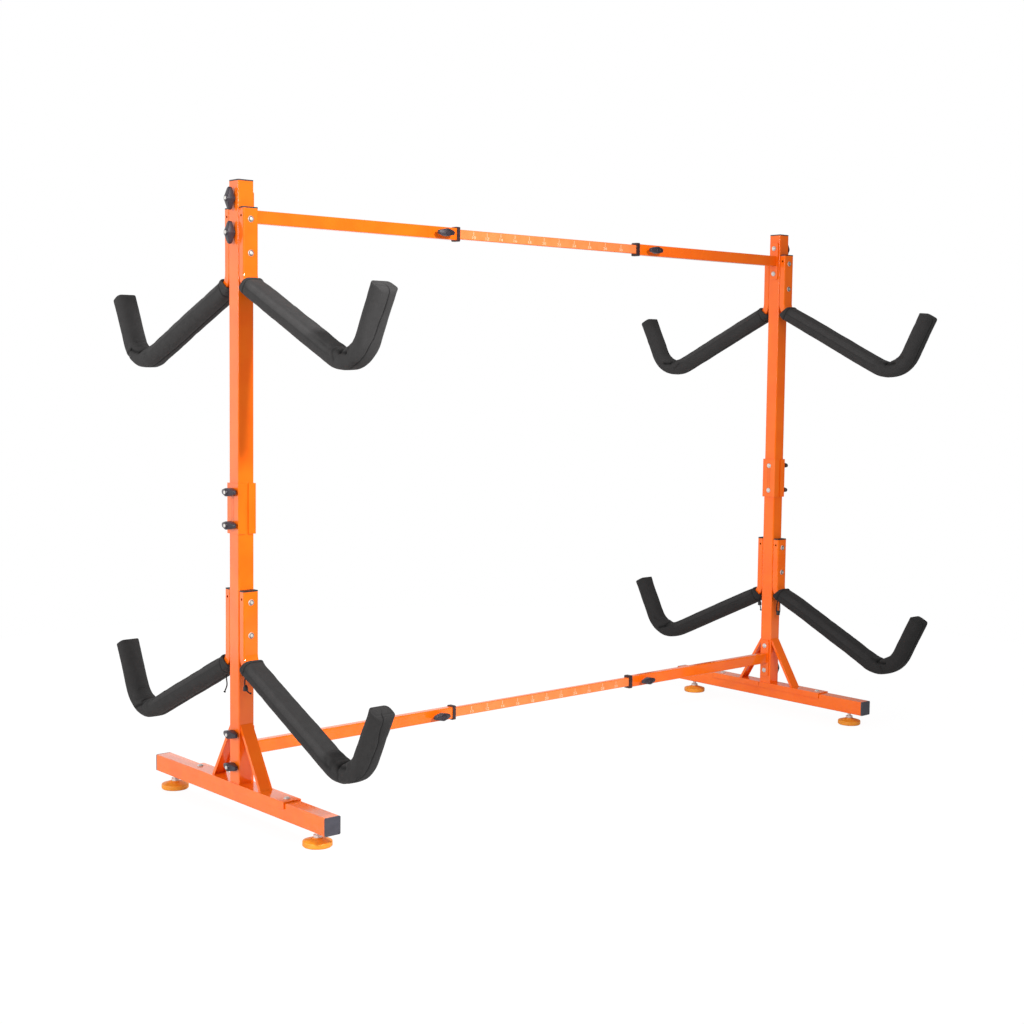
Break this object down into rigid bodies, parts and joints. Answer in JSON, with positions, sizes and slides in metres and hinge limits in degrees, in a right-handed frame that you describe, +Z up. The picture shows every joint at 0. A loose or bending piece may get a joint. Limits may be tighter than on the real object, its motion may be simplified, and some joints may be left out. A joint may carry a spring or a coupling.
{
  "type": "kayak rack",
  "caption": "Freestanding metal rack with padded J-shaped arms on two tiers, telescoping crossbars with a printed scale and levelling feet, for storing kayaks.",
  "frame": {"origin": "on the floor, midway between the two uprights and midway between the front and back arms", "axes": "+X along the crossbars, from the left upright to the right one; +Y to the back; +Z up. The lock knobs are on the front, the -Y side"},
  "size_m": [1.9704, 1.1014, 1.44],
  "materials": {
    "orange_paint": "smooth semi-gloss powder coat",
    "pad_plastic": "moulded, slightly satin",
    "black_plastic": "moulded, satin",
    "grey_plastic": "moulded, satin",
    "black_fabric": "woven nylon sleeve over foam padding",
    "cord": "braided round drawstring",
    "zinc": "bright zinc plate"
  },
  "bodies": {
    "left_frame": {"left_foot_tube": "orange_paint", "left_foot_caps": "grey_plastic", "left_base_bracket": "orange_paint", "left_lower_post": "orange_paint", "left_upper_post": "orange_paint", "left_post_clamp": "orange_paint", "left_upper_arms": "orange_paint", "left_lower_arms": "orange_paint", "left_upper_front_cover": "black_fabric", "left_upper_back_cover": "black_fabric", "left_lower_front_cover": "black_fabric", "left_lower_back_cover": "black_fabric", "left_top_caps": "black_plastic", "left_bolts": "zinc", "left_outer_bars": "orange_paint", "left_collars": "black_plastic", "left_lower_front_drawstring": "cord", "left_lower_back_drawstring": "cord", "left_cord_locks": "black_plastic"},
    "right_frame": {"right_foot_tube": "orange_paint", "right_foot_caps": "grey_plastic", "right_base_bracket": "orange_paint", "right_lower_post": "orange_paint", "right_upper_post": "orange_paint", "right_post_clamp": "orange_paint", "right_upper_arms": "orange_paint", "right_lower_arms": "orange_paint", "right_upper_front_cover": "black_fabric", "right_upper_back_cover": "black_fabric", "right_lower_front_cover": "black_fabric", "right_lower_back_cover": "black_fabric", "right_top_caps": "black_plastic", "right_bolts": "zinc", "right_outer_bars": "orange_paint", "right_collars": "black_plastic", "right_lower_front_drawstring": "cord", "right_lower_back_drawstring": "cord", "right_cord_locks": "black_plastic"},
    "upper_scale_bar": {"upper_scale_bar": "orange_paint"},
    "lower_scale_bar": {"lower_scale_bar": "orange_paint"},
    "left_upper_plate_top_knob": {"left_upper_plate_top_knob": "grey_plastic"},
    "left_upper_plate_bottom_knob": {"left_upper_plate_bottom_knob": "grey_plastic"},
    "left_clamp_top_knob": {"left_clamp_top_knob": "grey_plastic"},
    "left_clamp_bottom_knob": {"left_clamp_bottom_knob": "grey_plastic"},
    "left_lower_plate_top_knob": {"left_lower_plate_top_knob": "grey_plastic"},
    "left_lower_plate_bottom_knob": {"left_lower_plate_bottom_knob": "grey_plastic"},
    "left_upper_lock_knob": {"left_upper_lock_knob": "grey_plastic"},
    "left_lower_lock_knob": {"left_lower_lock_knob": "grey_plastic"},
    "left_front_foot_pad": {"left_front_foot_pad": "pad_plastic"},
    "left_back_foot_pad": {"left_back_foot_pad": "pad_plastic"},
    "right_upper_plate_top_knob": {"right_upper_plate_top_knob": "grey_plastic"},
    "right_upper_plate_bottom_knob": {"right_upper_plate_bottom_knob": "grey_plastic"},
    "right_clamp_top_knob": {"right_clamp_top_knob": "grey_plastic"},
    "right_clamp_bottom_knob": {"right_clamp_bottom_knob": "grey_plastic"},
    "right_lower_plate_top_knob": {"right_lower_plate_top_knob": "grey_plastic"},
    "right_lower_plate_bottom_knob": {"right_lower_plate_bottom_knob": "grey_plastic"},
    "right_upper_lock_knob": {"right_upper_lock_knob": "grey_plastic"},
    "right_lower_lock_knob": {"right_lower_lock_knob": "grey_plastic"},
    "right_front_foot_pad": {"right_front_foot_pad": "pad_plastic"},
    "right_back_foot_pad": {"right_back_foot_pad": "pad_plastic"}
  },
  "joints": [
    {"name": "width_slide", "type": "slide", "parent": "left_frame", "child": "right_frame", "axis": [1, 0, 0], "range_m": [-0.6, 0.3]},
    {"name": "upper_scale_slide", "type": "slide", "parent": "left_frame", "child": "upper_scale_bar", "axis": [1, 0, 0], "range_m": [-0.3, 0.15]},
    {"name": "lower_scale_slide", "type": "slide", "parent": "left_frame", "child": "lower_scale_bar", "axis": [1, 0, 0], "range_m": [-0.3, 0.15]},
    {"name": "left_upper_plate_top_knob_turn", "type": "hinge", "parent": "left_frame", "child": "left_upper_plate_top_knob", "pos_m": [-0.97, 0, 1.398], "axis": [-1, 0, 0], "continuous": true},
    {"name": "left_upper_plate_bottom_knob_turn", "type": "hinge", "parent": "left_frame", "child": "left_upper_plate_bottom_knob", "pos_m": [-0.97, 0, 1.323], "axis": [-1, 0, 0], "continuous": true},
    {"name": "left_clamp_top_knob_turn", "type": "hinge", "parent": "left_frame", "child": "left_clamp_top_knob", "pos_m": [-0.97, 0, 0.7445], "axis": [-1, 0, 0], "continuous": true},
    {"name": "left_clamp_bottom_knob_turn", "type": "hinge", "parent": "left_frame", "child": "left_clamp_bottom_knob", "pos_m": [-0.97, 0, 0.6695], "axis": [-1, 0, 0], "continuous": true},
    {"name": "left_lower_plate_top_knob_turn", "type": "hinge", "parent": "left_frame", "child": "left_lower_plate_top_knob", "pos_m": [-0.97, 0, 0.192], "axis": [-1, 0, 0], "continuous": true},
    {"name": "left_lower_plate_bottom_knob_turn", "type": "hinge", "parent": "left_frame", "child": "left_lower_plate_bottom_knob", "pos_m": [-0.97, 0, 0.117], "axis": [-1, 0, 0], "continuous": true},
    {"name": "left_upper_lock_knob_turn", "type": "hinge", "parent": "left_frame", "child": "left_upper_lock_knob", "pos_m": [-0.374, -0.03, 1.3605], "axis": [0, -1, 0], "continuous": true},
    {"name": "left_lower_lock_knob_turn", "type": "hinge", "parent": "left_frame", "child": "left_lower_lock_knob", "pos_m": [-0.374, -0.03, 0.1545], "axis": [0, -1, 0], "continuous": true},
    {"name": "left_front_foot_pad_turn", "type": "hinge", "parent": "left_frame", "child": "left_front_foot_pad", "pos_m": [-0.94, -0.304, 0.01], "axis": [0, 0, 1], "continuous": true},
    {"name": "left_back_foot_pad_turn", "type": "hinge", "parent": "left_frame", "child": "left_back_foot_pad", "pos_m": [-0.94, 0.304, 0.01], "axis": [0, 0, 1], "continuous": true},
    {"name": "right_upper_plate_top_knob_turn", "type": "hinge", "parent": "right_frame", "child": "right_upper_plate_top_knob", "pos_m": [0.97, 0, 1.398], "axis": [1, 0, 0], "continuous": true},
    {"name": "right_upper_plate_bottom_knob_turn", "type": "hinge", "parent": "right_frame", "child": "right_upper_plate_bottom_knob", "pos_m": [0.97, 0, 1.323], "axis": [1, 0, 0], "continuous": true},
    {"name": "right_clamp_top_knob_turn", "type": "hinge", "parent": "right_frame", "child": "right_clamp_top_knob", "pos_m": [0.97, 0, 0.7445], "axis": [1, 0, 0], "continuous": true},
    {"name": "right_clamp_bottom_knob_turn", "type": "hinge", "parent": "right_frame", "child": "right_clamp_bottom_knob", "pos_m": [0.97, 0, 0.6695], "axis": [1, 0, 0], "continuous": true},
    {"name": "right_lower_plate_top_knob_turn", "type": "hinge", "parent": "right_frame", "child": "right_lower_plate_top_knob", "pos_m": [0.97, 0, 0.192], "axis": [1, 0, 0], "continuous": true},
    {"name": "right_lower_plate_bottom_knob_turn", "type": "hinge", "parent": "right_frame", "child": "right_lower_plate_bottom_knob", "pos_m": [0.97, 0, 0.117], "axis": [1, 0, 0], "continuous": true},
    {"name": "right_upper_lock_knob_turn", "type": "hinge", "parent": "right_frame", "child": "right_upper_lock_knob", "pos_m": [0.374, -0.03, 1.3605], "axis": [0, -1, 0], "continuous": true},
    {"name": "right_lower_lock_knob_turn", "type": "hinge", "parent": "right_frame", "child": "right_lower_lock_knob", "pos_m": [0.374, -0.03, 0.1545], "axis": [0, -1, 0], "continuous": true},
    {"name": "right_front_foot_pad_turn", "type": "hinge", "parent": "right_frame", "child": "right_front_foot_pad", "pos_m": [0.94, -0.304, 0.01], "axis": [0, 0, 1], "continuous": true},
    {"name": "right_back_foot_pad_turn", "type": "hinge", "parent": "right_frame", "child": "right_back_foot_pad", "pos_m": [0.94, 0.304, 0.01], "axis": [0, 0, 1], "continuous": true}
  ],
  "couplings": [
    {"joint": "upper_scale_slide", "follows": "width_slide", "ratio": 0.5},
    {"joint": "lower_scale_slide", "follows": "width_slide", "ratio": 0.5}
  ]
}
